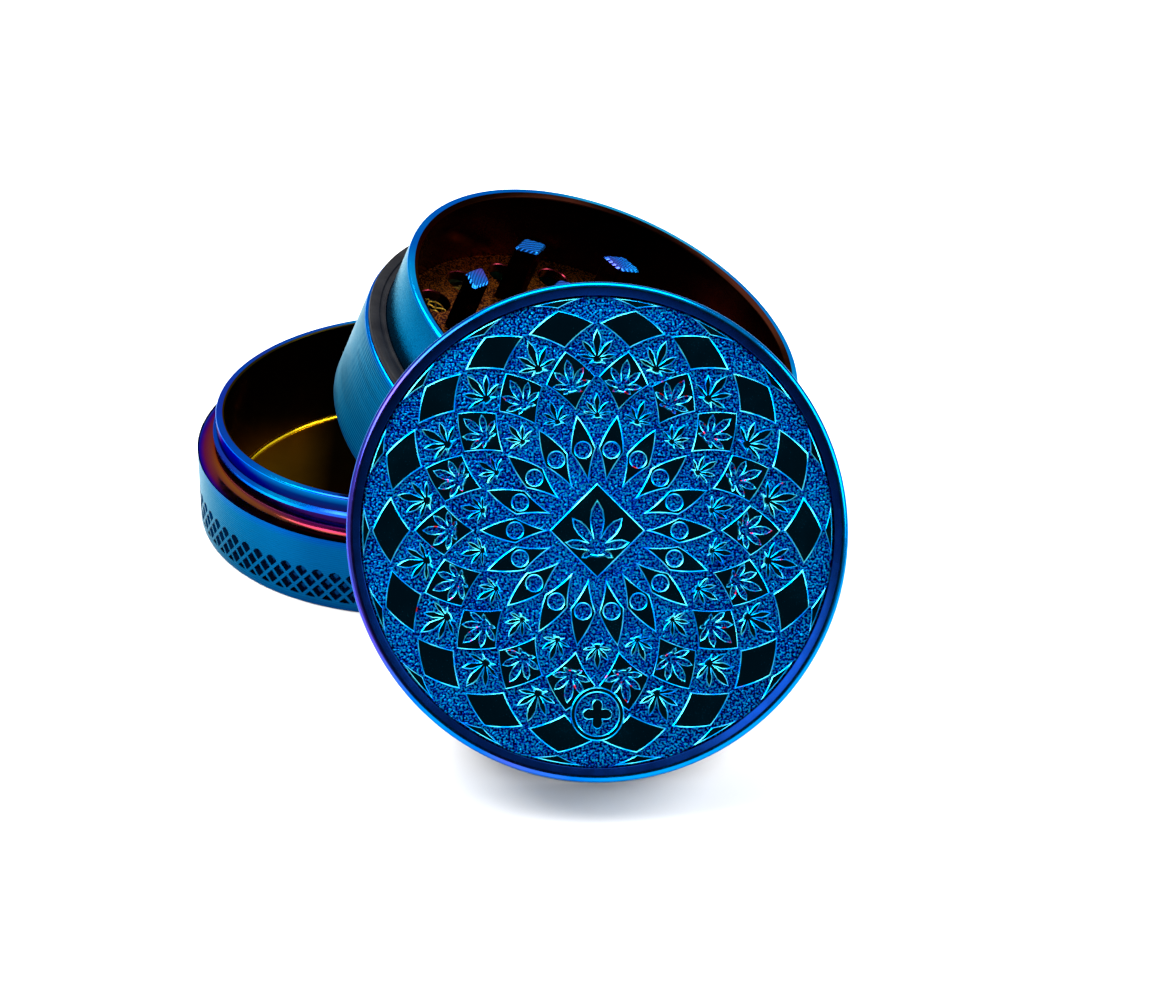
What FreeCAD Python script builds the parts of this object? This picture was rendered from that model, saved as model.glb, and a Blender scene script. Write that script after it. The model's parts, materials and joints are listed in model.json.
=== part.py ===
"""Four-part screw-together herb grinder, 63 mm in diameter, laid out taken apart.

The cup stands on the floor, its base centre at the origin. The chamber, screwed into the
sieve ring, is tilted just clear of the cup's rim with its mouth up. The lid stands on its edge
in front (towards -Y), leaning back. Each group is modelled upright about its own axis, from
z = 0 at its lower edge, and is then placed. Millimetres, +Z up.
"""
import FreeCAD, Part
import math
import os

Vector = FreeCAD.Vector
Z_AXIS = Vector(0, 0, 1)

# ---- driving dimensions ----
OUTER_R = 31.5            # every full-diameter band
EDGE_FILLET = 0.5
OVERCUT = 1.0             # how far a cutting tool reaches past the face that it opens
SINK = 0.1                # how far raised work is rooted in the plate under it
PICK_TOLERANCE = 0.02     # for finding an edge by its radius and height

# thread ridges: half-widths at the foot and the crest, and how far the foot sits in the wall
THREAD_FOOT = 0.5
THREAD_CREST = 0.12
THREAD_EMBED = 0.15

# cup
CUP_BAND_H = 10.6
CUP_TOP = 16.4            # top of the threaded neck
CUP_BORE_R = 27.4
CUP_FLOOR_T = 1.4
CUP_FLOOR_FILLET = 2.5
CUP_SHOULDER_FILLET = 0.9
CUP_RIM_FILLET = 0.3
CUP_THREAD_ROOT_R = 28.65
CUP_THREAD_CREST_R = 29.15
CUP_THREAD_PITCH = 2.0
CUP_THREAD_TURNS = 1.5
CUP_THREAD_Z = 12.3       # height of the ridge's first turn

# sieve ring
RING_H = 14.4
SOCKET_R = 29.4           # lower socket, takes the cup's neck
SOCKET_DEPTH = 6.2
SOCKET_CREST_R = 28.95
SOCKET_THREAD_Z = 1.6
LEDGE_R = 25.4            # opening under the mesh
LEDGE_TOP = 7.2
MESH_POCKET_R = 28.0
MESH_POCKET_TOP = 9.4
UPPER_SOCKET_R = 28.95    # takes the chamber's threaded foot
UPPER_CREST_R = 28.45

# mesh
MESH_RIM_R = 27.9
MESH_R = 26.4
MESH_RIM_H = 0.8
MESH_T = 0.44             # two crossing wires
CLIP_OUTER_R = 27.9
CLIP_INNER_R = 26.2
CLIP_H = 1.0
CLIP_GAP_ANGLE = 24.0     # degrees left open so that the clip can be squeezed

# chamber
NECK_R = 28.84
NECK_BORE_R = 27.2
CHAMBER_TOP = 24.4
CHAMBER_DEPTH = 11.0
CHAMBER_FLOOR_T = 1.5
CHAMBER_RIM_FILLET = 0.35
FOOT_ROOT_R = 28.2
FOOT_CREST_R = 28.7
FOOT_BORE_R = 26.2
FOOT_BOTTOM = 9.6
FOOT_TOP = 14.2
FOOT_THREAD_PITCH = 1.5
FOOT_THREAD_TURNS = 1.5
FOOT_THREAD_Z = 10.3
POST_R = 5.0
POST_TOP = 21.6
MAGNET_R = 3.6
MAGNET_H = 2.0
OUTER_HOLES, OUTER_HOLE_CIRCLE_R, OUTER_HOLE_R = 18, 22.9, 2.35
INNER_HOLES, INNER_HOLE_CIRCLE_R, INNER_HOLE_R = 12, 13.9, 2.3
HOLE_PHASE = 121.0        # degrees
CHAMBER_TEETH_OUTER, CHAMBER_TEETH_OUTER_R = 8, 18.4
CHAMBER_TEETH_INNER, CHAMBER_TEETH_INNER_R = 4, 9.2
CHAMBER_TEETH_PHASE = 36.0
TOOTH_LONG = 5.5          # diagonal along the circle
TOOTH_SHORT = 3.3         # diagonal along the radius
TOOTH_H = 9.0

# slip ring
SLIP_INNER_R = 28.95
SLIP_OUTER_R = 31.2
SLIP_BOTTOM = 14.5
SLIP_H = 0.8

# lid
LID_H = 13.0
LID_BORE_R = 29.0
LID_SKIRT_DEPTH = 9.1
LID_RECESS = 1.9          # depth of the pocket that holds the medallion
LID_RIM_FILLET = 0.8
LID_BEVEL_DEPTH = 0.9     # inner bevel, from the rim down to the medallion's radius
MEDALLION_R = 29.6
MEDALLION_T = 1.0
RELIEF_H = 0.35
BORDER_W = 0.5
DIAMOND_HALF = 5.8
BADGE_R = 3.4
BADGE_OFFSET = 23.0
LID_BOSS_R = 5.6
LID_BOSS_H = 2.5
LID_TEETH_OUTER, LID_TEETH_OUTER_R = 10, 23.4
LID_TEETH_INNER, LID_TEETH_INNER_R = 6, 13.7
LID_TOOTH_H = 8.6

# layout
CHAMBER_MOUTH = Vector(27.2, -12.4, 36.4)
CHAMBER_TILT = 22.4       # degrees from upright
CHAMBER_HEADING = -20.5   # direction in which its mouth leans, degrees from +X
LID_FACE = Vector(25.7, -65.0, 33.3)
LID_LEAN = 34.8           # degrees from upright


def ring(outer_r, inner_r, z_low, z_high):
    """A plain tube standing on z_low."""
    height = z_high - z_low
    tube = Part.makeCylinder(outer_r, height, Vector(0, 0, z_low))
    return tube.cut(Part.makeCylinder(inner_r, height + 2 * OVERCUT, Vector(0, 0, z_low - OVERCUT)))


def disc(radius, z_low, z_high):
    return Part.makeCylinder(radius, z_high - z_low, Vector(0, 0, z_low))


def polar(radius, degrees, z=0.0):
    angle = math.radians(degrees)
    return Vector(radius * math.cos(angle), radius * math.sin(angle), z)


def fillet_circles(shape, picks, radius):
    """Round the circular edges that lie at the given (radius, height) pairs."""
    edges = []
    for edge in shape.Edges:
        curve = edge.Curve
        if not isinstance(curve, Part.Circle):
            continue
        for pick_r, pick_z in picks:
            if max(abs(curve.Radius - pick_r), abs(curve.Center.z - pick_z)) < PICK_TOLERANCE:
                edges.append(edge)
                break
    return shape.makeFillet(radius, edges)


def thread_ridge(wall_r, crest_r, pitch, turns, z_start):
    """A helical ridge of tapering section, rooted a little way inside its wall."""
    embed = math.copysign(THREAD_EMBED, crest_r - wall_r)
    helix = Part.makeHelix(pitch, pitch * turns, wall_r)
    section = Part.makePolygon([
        Vector(wall_r - embed, 0, -THREAD_FOOT),
        Vector(crest_r, 0, -THREAD_CREST),
        Vector(crest_r, 0, THREAD_CREST),
        Vector(wall_r - embed, 0, THREAD_FOOT),
        Vector(wall_r - embed, 0, -THREAD_FOOT),
    ])
    ridge = Part.Wire(helix.Edges).makePipeShell([section], True, True)
    ridge.translate(Vector(0, 0, z_start))
    return ridge


def tooth(circle_r, degrees, z_low, z_high):
    """A diamond post whose long diagonal lies along its circle."""
    along, across = TOOTH_LONG / 2, TOOTH_SHORT / 2
    corners = [Vector(across, 0, 0), Vector(0, along, 0), Vector(-across, 0, 0), Vector(0, -along, 0)]
    outline = Part.makePolygon(corners + corners[:1])
    post = Part.Face(outline).extrude(Vector(0, 0, z_high - z_low))
    post.translate(Vector(circle_r, 0, z_low))
    post.rotate(Vector(), Z_AXIS, degrees)
    return post


def teeth(count, circle_r, phase, z_low, z_high):
    step = 360.0 / count
    return Part.makeCompound([tooth(circle_r, phase + k * step, z_low, z_high) for k in range(count)])


# ---- cup ----

def cup_shell():
    body = disc(OUTER_R, 0, CUP_BAND_H).fuse(disc(CUP_THREAD_ROOT_R, CUP_BAND_H, CUP_TOP))
    body = fillet_circles(body, [(CUP_THREAD_ROOT_R, CUP_BAND_H)], CUP_SHOULDER_FILLET)
    body = fillet_circles(body, [(OUTER_R, 0), (OUTER_R, CUP_BAND_H)], EDGE_FILLET)
    bowl = disc(CUP_BORE_R, CUP_FLOOR_T, CUP_TOP + OVERCUT)
    bowl = fillet_circles(bowl, [(CUP_BORE_R, CUP_FLOOR_T)], CUP_FLOOR_FILLET)
    body = body.cut(bowl)
    body = fillet_circles(body, [(CUP_THREAD_ROOT_R, CUP_TOP), (CUP_BORE_R, CUP_TOP)], CUP_RIM_FILLET)
    ridge = thread_ridge(CUP_THREAD_ROOT_R, CUP_THREAD_CREST_R, CUP_THREAD_PITCH,
                         CUP_THREAD_TURNS, CUP_THREAD_Z)
    return body.fuse(ridge)


# ---- sieve ring and what it holds ----

def sieve_ring():
    body = disc(OUTER_R, 0, RING_H)
    body = fillet_circles(body, [(OUTER_R, 0), (OUTER_R, RING_H)], EDGE_FILLET)
    body = body.cut(disc(SOCKET_R, -OVERCUT, SOCKET_DEPTH))
    body = body.cut(disc(LEDGE_R, -OVERCUT, RING_H + OVERCUT))
    body = body.cut(disc(MESH_POCKET_R, LEDGE_TOP, RING_H + OVERCUT))
    body = body.cut(disc(UPPER_SOCKET_R, MESH_POCKET_TOP, RING_H + OVERCUT))
    lower = thread_ridge(SOCKET_R, SOCKET_CREST_R, CUP_THREAD_PITCH, CUP_THREAD_TURNS,
                         SOCKET_THREAD_Z)
    upper = thread_ridge(UPPER_SOCKET_R, UPPER_CREST_R, FOOT_THREAD_PITCH, FOOT_THREAD_TURNS,
                         FOOT_THREAD_Z + FOOT_THREAD_PITCH / 2)
    return body.fuse([lower, upper])


def mesh_rim():
    return ring(MESH_RIM_R, MESH_R, LEDGE_TOP, LEDGE_TOP + MESH_RIM_H)


def sieve_mesh():
    middle = LEDGE_TOP + MESH_RIM_H / 2
    return disc(MESH_R, middle - MESH_T / 2, middle + MESH_T / 2)


def mesh_clip():
    low = LEDGE_TOP + MESH_RIM_H
    clip = ring(CLIP_OUTER_R, CLIP_INNER_R, low, low + CLIP_H)
    reach = CLIP_OUTER_R * 2
    half = math.tan(math.radians(CLIP_GAP_ANGLE / 2)) * reach
    base = low - OVERCUT
    corners = [Vector(0, 0, base), Vector(reach, -half, base), Vector(reach, half, base)]
    wedge = Part.Face(Part.makePolygon(corners + corners[:1])).extrude(Vector(0, 0, CLIP_H + 2 * OVERCUT))
    return clip.cut(wedge)


# ---- chamber ----

def floor_holes():
    low = CHAMBER_TOP - CHAMBER_DEPTH - CHAMBER_FLOOR_T - OVERCUT
    drills = []
    for count, circle_r, hole_r in ((OUTER_HOLES, OUTER_HOLE_CIRCLE_R, OUTER_HOLE_R),
                                    (INNER_HOLES, INNER_HOLE_CIRCLE_R, INNER_HOLE_R)):
        for k in range(count):
            place = polar(circle_r, HOLE_PHASE + k * 360.0 / count, low)
            drills.append(Part.makeCylinder(hole_r, CHAMBER_FLOOR_T + 2 * OVERCUT, place))
    return drills


def chamber_shell():
    floor_top = CHAMBER_TOP - CHAMBER_DEPTH
    floor_low = floor_top - CHAMBER_FLOOR_T
    body = disc(NECK_R, FOOT_TOP, CHAMBER_TOP).fuse(disc(FOOT_ROOT_R, FOOT_BOTTOM, FOOT_TOP))
    body = body.cut(disc(NECK_BORE_R, floor_top, CHAMBER_TOP + OVERCUT))
    body = body.cut(disc(FOOT_BORE_R, FOOT_BOTTOM - OVERCUT, floor_low))
    body = fillet_circles(body, [(NECK_R, CHAMBER_TOP), (NECK_BORE_R, CHAMBER_TOP)], CHAMBER_RIM_FILLET)
    post = disc(POST_R, floor_top, POST_TOP)
    post = post.cut(disc(MAGNET_R, POST_TOP - MAGNET_H, POST_TOP + OVERCUT))
    ridge = thread_ridge(FOOT_ROOT_R, FOOT_CREST_R, FOOT_THREAD_PITCH, FOOT_THREAD_TURNS, FOOT_THREAD_Z)
    return body.fuse([post, ridge]).cut(floor_holes())


def chamber_magnet():
    return disc(MAGNET_R, POST_TOP - MAGNET_H, POST_TOP)


def chamber_teeth_outer():
    low = CHAMBER_TOP - CHAMBER_DEPTH
    return teeth(CHAMBER_TEETH_OUTER, CHAMBER_TEETH_OUTER_R, CHAMBER_TEETH_PHASE, low, low + TOOTH_H)


def chamber_teeth_inner():
    low = CHAMBER_TOP - CHAMBER_DEPTH
    return teeth(CHAMBER_TEETH_INNER, CHAMBER_TEETH_INNER_R, CHAMBER_TEETH_PHASE, low, low + TOOTH_H)


def slip_ring():
    return ring(SLIP_OUTER_R, SLIP_INNER_R, SLIP_BOTTOM, SLIP_BOTTOM + SLIP_H)


# ---- lid ----

def lid_shell():
    body = disc(OUTER_R, 0, LID_H)
    body = fillet_circles(body, [(OUTER_R, LID_H)], LID_RIM_FILLET)
    body = fillet_circles(body, [(OUTER_R, 0)], EDGE_FILLET)
    body = body.cut(disc(LID_BORE_R, -OVERCUT, LID_SKIRT_DEPTH))
    body = body.cut(disc(MEDALLION_R, LID_H - LID_RECESS, LID_H + OVERCUT))
    bevel_foot = Vector(0, 0, LID_H - LID_BEVEL_DEPTH)
    body = body.cut(Part.makeCone(MEDALLION_R, OUTER_R - LID_RIM_FILLET, LID_BEVEL_DEPTH, bevel_foot))
    boss_low = LID_SKIRT_DEPTH - LID_BOSS_H
    boss = disc(LID_BOSS_R, boss_low, LID_SKIRT_DEPTH)
    boss = boss.cut(disc(MAGNET_R, boss_low - OVERCUT, boss_low + MAGNET_H))
    return body.fuse(boss)


def lid_medallion():
    """The carved disc in the lid's top: ring border, centre diamond and a plain round boss."""
    low = LID_H - LID_RECESS
    top = low + MEDALLION_T
    plate = disc(MEDALLION_R, low, top)
    root = top - SINK
    corners = [polar(DIAMOND_HALF, 90 * k, root) for k in range(4)]
    diamond = Part.Face(Part.makePolygon(corners + corners[:1])).extrude(Vector(0, 0, RELIEF_H + SINK))
    badge = Part.makeCylinder(BADGE_R, RELIEF_H + SINK, Vector(0, -BADGE_OFFSET, root))
    border = ring(MEDALLION_R, MEDALLION_R - BORDER_W, root, top + RELIEF_H)
    return plate.fuse([diamond, badge, border])


def lid_magnet():
    low = LID_SKIRT_DEPTH - LID_BOSS_H
    return disc(MAGNET_R, low, low + MAGNET_H)


def lid_teeth_outer():
    top = LID_SKIRT_DEPTH
    return teeth(LID_TEETH_OUTER, LID_TEETH_OUTER_R, 0, top - LID_TOOTH_H, top)


def lid_teeth_inner():
    top = LID_SKIRT_DEPTH
    return teeth(LID_TEETH_INNER, LID_TEETH_INNER_R, 0, top - LID_TOOTH_H, top)


# ---- layout ----

def chamber_placement():
    """Tilts the upright chamber group and puts its mouth centre at CHAMBER_MOUTH."""
    heading = FreeCAD.Rotation(Z_AXIS, CHAMBER_HEADING)
    tilt = FreeCAD.Rotation(Vector(0, 1, 0), CHAMBER_TILT)
    turn = heading.multiply(tilt).multiply(heading.inverted())
    return FreeCAD.Placement(CHAMBER_MOUTH - turn.multVec(Vector(0, 0, CHAMBER_TOP)), turn)


def lid_placement():
    """Stands the lid on its edge, top towards -Y, leaning back by LID_LEAN."""
    turn = FreeCAD.Rotation(Vector(1, 0, 0), 90.0 - LID_LEAN)
    return FreeCAD.Placement(LID_FACE - turn.multVec(Vector(0, 0, LID_H)), turn)


GROUPS = [
    (FreeCAD.Placement(), [cup_shell]),
    (chamber_placement(), [sieve_ring, mesh_rim, sieve_mesh, mesh_clip, slip_ring, chamber_shell,
                           chamber_magnet, chamber_teeth_outer, chamber_teeth_inner]),
    (lid_placement(), [lid_shell, lid_medallion, lid_magnet, lid_teeth_outer, lid_teeth_inner]),
]


def build():
    """Every node's placed shape, by name."""
    shapes = {}
    for placement, makers in GROUPS:
        for maker in makers:
            shape = maker()
            shape.transformShape(placement.toMatrix())
            shapes[maker.__name__] = shape
    return shapes


def main():
    os.makedirs("parts", exist_ok=True)
    for node, shape in build().items():
        shape.exportStep("parts/%s.step" % node)
        print(node, "valid", shape.isValid(), "solids", len(shape.Solids), "volume", round(shape.Volume, 1))


main()
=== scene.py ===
"""Looks of the taken-apart herb grinder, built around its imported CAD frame.

Every new piece is modelled upright about its own axis in millimetres, scaled to metres, and
stood where the frame's joints put its group. New pieces stand for the metal shells, the teeth,
the carved rosette, the woven mesh and the slip ring.
"""

import json
import math

import bmesh
import bpy
from mathutils import Matrix, Vector
from mathutils.geometry import tessellate_polygon

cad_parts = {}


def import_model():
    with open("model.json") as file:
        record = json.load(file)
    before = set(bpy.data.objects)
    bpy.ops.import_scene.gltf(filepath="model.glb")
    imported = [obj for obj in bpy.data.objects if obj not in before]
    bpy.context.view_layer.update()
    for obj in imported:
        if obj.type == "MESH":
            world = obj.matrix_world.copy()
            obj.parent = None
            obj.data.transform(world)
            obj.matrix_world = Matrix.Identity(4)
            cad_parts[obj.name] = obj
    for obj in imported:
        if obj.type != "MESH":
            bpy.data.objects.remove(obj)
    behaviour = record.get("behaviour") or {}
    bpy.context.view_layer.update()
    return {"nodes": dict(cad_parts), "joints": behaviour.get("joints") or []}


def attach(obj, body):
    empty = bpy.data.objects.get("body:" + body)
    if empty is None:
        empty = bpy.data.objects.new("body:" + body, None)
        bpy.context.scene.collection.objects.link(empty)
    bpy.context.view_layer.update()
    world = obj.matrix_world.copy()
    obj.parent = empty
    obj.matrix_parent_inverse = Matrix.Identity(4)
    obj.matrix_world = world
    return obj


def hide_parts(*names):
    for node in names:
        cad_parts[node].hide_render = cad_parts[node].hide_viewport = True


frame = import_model()

MM = 0.001
ROUND_STEPS = 240  # facets around a full-diameter ring
LID_STEPS, POST_STEPS = 288, 96
SHARP_ANGLE = math.radians(32)
TEETH_SHARP, ROSETTE_SHARP = math.radians(20), math.radians(18)
MERGE_M, SLIVER_M = 2e-6, 1e-7  # points closer than these are joined, in metres

# ---- sizes that follow the CAD parts, in millimetres and degrees about each group's own axis ----
OUTER_R = 31.5
CUP_BAND_H, CUP_TOP, CUP_BORE_R, CUP_FLOOR = 10.6, 16.4, 27.4, 1.4
CUP_THREAD_ROOT_R, CUP_THREAD_CREST_R, CUP_THREAD_PITCH = 28.65, 29.15, 2.0
CUP_THREAD_TURNS, CUP_THREAD_Z = 1.5, 12.3
RING_H, SOCKET_R, SOCKET_DEPTH, LEDGE_R, LEDGE_TOP = 14.4, 29.4, 6.2, 25.4, 7.2
SOCKET_CREST_R, SOCKET_THREAD_Z = 28.95, 1.6
MESH_POCKET_R, MESH_POCKET_TOP, UPPER_SOCKET_R, UPPER_CREST_R = 28.0, 9.4, 28.95, 28.45
CHAMBER_TOP, NECK_R, NECK_BORE_R, FLOOR_TOP, FLOOR_LOW = 24.4, 28.84, 27.2, 13.4, 11.9
FOOT_ROOT_R, FOOT_CREST_R, FOOT_BORE_R, FOOT_BOTTOM, FOOT_TOP = 28.2, 28.7, 26.2, 9.6, 14.2
FOOT_PITCH, FOOT_TURNS, FOOT_THREAD_Z = 1.5, 1.5, 10.3
POST_R, POST_TOP, MAGNET_R, MAGNET_H = 5.0, 21.6, 3.6, 2.0
PLATE_R = NECK_BORE_R - 0.6  # the drilled floor's edge
HOLE_RINGS = ((18, 22.9, 2.35), (12, 13.9, 2.3))  # count, circle's radius, hole's radius
HOLE_PHASE = 121.0
TEETH_PHASE, TOOTH_LONG, TOOTH_SHORT, TOOTH_H = 36.0, 5.5, 3.3, 9.0
CHAMBER_TEETH = (("teeth_outer", "chamber_teeth_outer", 8, 18.4),  # piece, CAD node, count,
                 ("teeth_inner", "chamber_teeth_inner", 4, 9.2))  # circle's radius
LID_TEETH = (("lid_teeth_long_circle", "lid_teeth_outer", 10, 23.4),
             ("lid_teeth_short_circle", "lid_teeth_inner", 6, 13.7))
SLIP_INNER_R, SLIP_OUTER_R, SLIP_BOTTOM, SLIP_H = 28.95, 31.2, 14.5, 0.8
LID_H, LID_BORE_R, LID_SKIRT, LID_RECESS = 13.0, 29.0, 9.1, 1.9
LID_BOSS_R, LID_BOSS_H, LID_TOOTH_H = 5.6, 2.5, 8.6
MEDALLION_R, MEDALLION_T, RELIEF_H = 29.6, 1.0, 0.35


# ---- where the groups stand ----

def group_matrix(joint_name, axis_height):
    """The group's own frame: its +Z along the joint's axis, axis_height at the joint's point."""
    joint = next(j for j in frame["joints"] if j["name"] == joint_name)
    turn = Vector((0, 0, 1)).rotation_difference(Vector(joint["axis"])).to_matrix().to_4x4()
    lower = Matrix.Translation((0, 0, -axis_height * MM))
    return Matrix.Translation(joint["pos_m"]) @ turn @ lower


CUP_PLACE = Matrix.Identity(4)
CHAMBER_PLACE = group_matrix("sieve_turn", CHAMBER_TOP)
LID_PLACE = group_matrix("lid_turn", LID_H)


# ---- mesh helpers ----

class Builder:
    """Collects points and faces in millimetres, with a material number for each face."""

    def __init__(self):
        self.points = []
        self.faces = []
        self.kinds = []

    def add(self, point):
        self.points.append(point)
        return len(self.points) - 1

    def face(self, corners, kind=0):
        self.faces.append(tuple(corners))
        self.kinds.append(kind)

    def band(self, low, high, kind=0):
        """Faces between two closed loops of the same number of points."""
        for k in range(len(low)):
            n = (k + 1) % len(low)
            self.face((low[k], low[n], high[n], high[k]), kind)

    def piece(self, name, body, place, materials, replaces=(), sharp=SHARP_ANGLE):
        """Makes the object, merges doubled points, and shades it smooth but for sharp edges."""
        mesh = bpy.data.meshes.new(name)
        mesh.from_pydata([Vector(p) * MM for p in self.points], [], self.faces)
        for material in materials:
            mesh.materials.append(material)
        mesh.polygons.foreach_set("material_index", self.kinds)
        work = bmesh.new()
        work.from_mesh(mesh)
        bmesh.ops.remove_doubles(work, verts=work.verts, dist=MERGE_M)
        bmesh.ops.dissolve_degenerate(work, edges=work.edges, dist=SLIVER_M)
        bmesh.ops.recalc_face_normals(work, faces=work.faces)
        for face in work.faces:
            face.smooth = True
        for edge in work.edges:
            edge.smooth = len(edge.link_faces) == 2 and edge.calc_face_angle(0) < sharp
        work.to_mesh(mesh)
        work.free()
        local = mesh.attributes.new("local", "FLOAT_VECTOR", "POINT")
        local.data.foreach_set("vector", [c for v in mesh.vertices for c in v.co])
        mesh.transform(place)
        obj = bpy.data.objects.new(name, mesh)
        bpy.context.scene.collection.objects.link(obj)
        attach(obj, body)
        if replaces:
            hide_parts(*replaces)


def polar(radius, degrees, z=0.0):
    angle = math.radians(degrees)
    return (radius * math.cos(angle), radius * math.sin(angle), z)


ARC_SHARE = 0.95  # of a straight, at most, is taken by the arc at its end


def rounded(corners, steps=5):
    """A closed (r, z, fillet, kind) outline as (r, z, kind) points, its corners made arcs."""
    result = []
    count = len(corners)
    for i, (r, z, fillet, kind) in enumerate(corners):
        here = Vector((r, z))
        if fillet <= 0:
            result.append((r, z, kind))
            continue
        before = Vector(corners[i - 1][:2])
        after = Vector(corners[(i + 1) % count][:2])
        a = (before - here).normalized()
        b = (after - here).normalized()
        half = a.angle(b) / 2
        reach = min(fillet / math.tan(half), (before - here).length * ARC_SHARE,
                    (after - here).length * ARC_SHARE)
        radius = reach * math.tan(half)
        centre = here + (a + b).normalized() * (radius / math.sin(half))
        start = here + a * reach - centre
        end = here + b * reach - centre
        sweep = start.angle_signed(end)
        for s in range(steps + 1):
            point = start.copy()
            point.rotate(Matrix.Rotation(-sweep * s / steps, 2))
            point += centre
            result.append((point.x, point.y, kind))
    return result


def lathe(build, outline, steps=ROUND_STEPS, closed=True):
    """Turns an outline of (r, z, kind) about the axis. A point's kind covers the face after it."""
    rings = []
    for r, z, _ in outline:
        if r < 1e-6:
            rings.append([build.add((0, 0, z))])
        else:
            rings.append([build.add(polar(r, 360.0 * k / steps, z)) for k in range(steps)])
    spans = len(outline) if closed else len(outline) - 1
    for i in range(spans):
        low, high = rings[i], rings[(i + 1) % len(rings)]
        kind = outline[i][2]
        if len(low) == len(high):
            if len(low) > 1:
                build.band(low, high, kind)
            continue
        for k in range(steps):
            n = (k + 1) % steps
            fan = (low[0], high[n], high[k]) if len(low) == 1 else (low[k], low[n], high[0])
            build.face(fan, kind)


THREAD_STEPS = 160  # to a turn
THREAD_SUNK = 0.12  # the ridge's root lies this deep in its wall
THREAD_PROFILE = (("root", -0.52), ("crest", -0.2), ("crest", -0.07),
                  ("crest", 0.07), ("crest", 0.2), ("root", 0.52))


def thread(build, wall_r, crest_r, pitch, turns, z_start, kind):
    """A helical ridge that rises out of its wall at both ends."""
    inward = crest_r < wall_r
    root = wall_r + (THREAD_SUNK if inward else -THREAD_SUNK)
    total = int(THREAD_STEPS * turns)
    runout = THREAD_STEPS // 9
    rows = []
    for k in range(total + 1):
        angle = 360.0 * k / THREAD_STEPS
        z = z_start + pitch * k / THREAD_STEPS
        rise = min(1.0, k / runout, (total - k) / runout)
        radius = {"root": root, "crest": root + (crest_r - root) * max(rise, 0.02)}
        rows.append([build.add(polar(radius[at], angle, z + dz)) for at, dz in THREAD_PROFILE])
    for low, high in zip(rows, rows[1:]):
        build.band(low, high, kind)
    build.face(rows[0], kind)
    build.face(rows[-1], kind)


LONGEST_MITRE = 2.4  # in distances moved


def inset(outline, distance):
    """The closed outline moved to its left by distance, with the reach of its corners limited."""
    result = []
    count = len(outline)
    for i, here in enumerate(outline):
        a = (Vector(here) - Vector(outline[i - 1])).normalized()
        b = (Vector(outline[(i + 1) % count]) - Vector(here)).normalized()
        middle = (Vector((-a.y, a.x)) + Vector((-b.y, b.x))).normalized()
        reach = min(1 / max(middle.dot(Vector((-a.y, a.x))), 0.1), LONGEST_MITRE)
        result.append(tuple(Vector(here) + middle * distance * reach))
    return result


def plateau(build, outline, holes, z_low, z_top, bevel, top_kind, edge_kind, hole_kind):
    """A raised flat island with bevelled edges; holes go right through it.
    outline and holes are functions that give their loop moved into the metal by a distance."""
    steps = ((0.0, z_low), (0.0, z_top - bevel * 0.9),
             (bevel * 0.35, z_top - bevel * 0.3), (bevel, z_top))
    ends = []
    for loop_at, kind in [(outline, edge_kind)] + [(hole, hole_kind) for hole in holes]:
        loops = [[build.add((x, y, z)) for x, y in loop_at(inwards)] for inwards, z in steps]
        # The upright foot wall takes the dark top material: a painted shadow line round each
        # figure's foot.
        for low, high, strip in zip(loops, loops[1:], (top_kind, kind, kind)):
            build.band(low, high, strip)
        ends.append((loops[0], loops[-1]))
    for which, kind in ((0, edge_kind), (1, top_kind)):
        rings = [[Vector(build.points[i]) for i in pair[which]] for pair in ends]
        numbers = [i for pair in ends for i in pair[which]]
        for a, b, c in tessellate_polygon(rings):
            build.face((numbers[a], numbers[b], numbers[c]), kind)


# ---- material helpers ----

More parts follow.
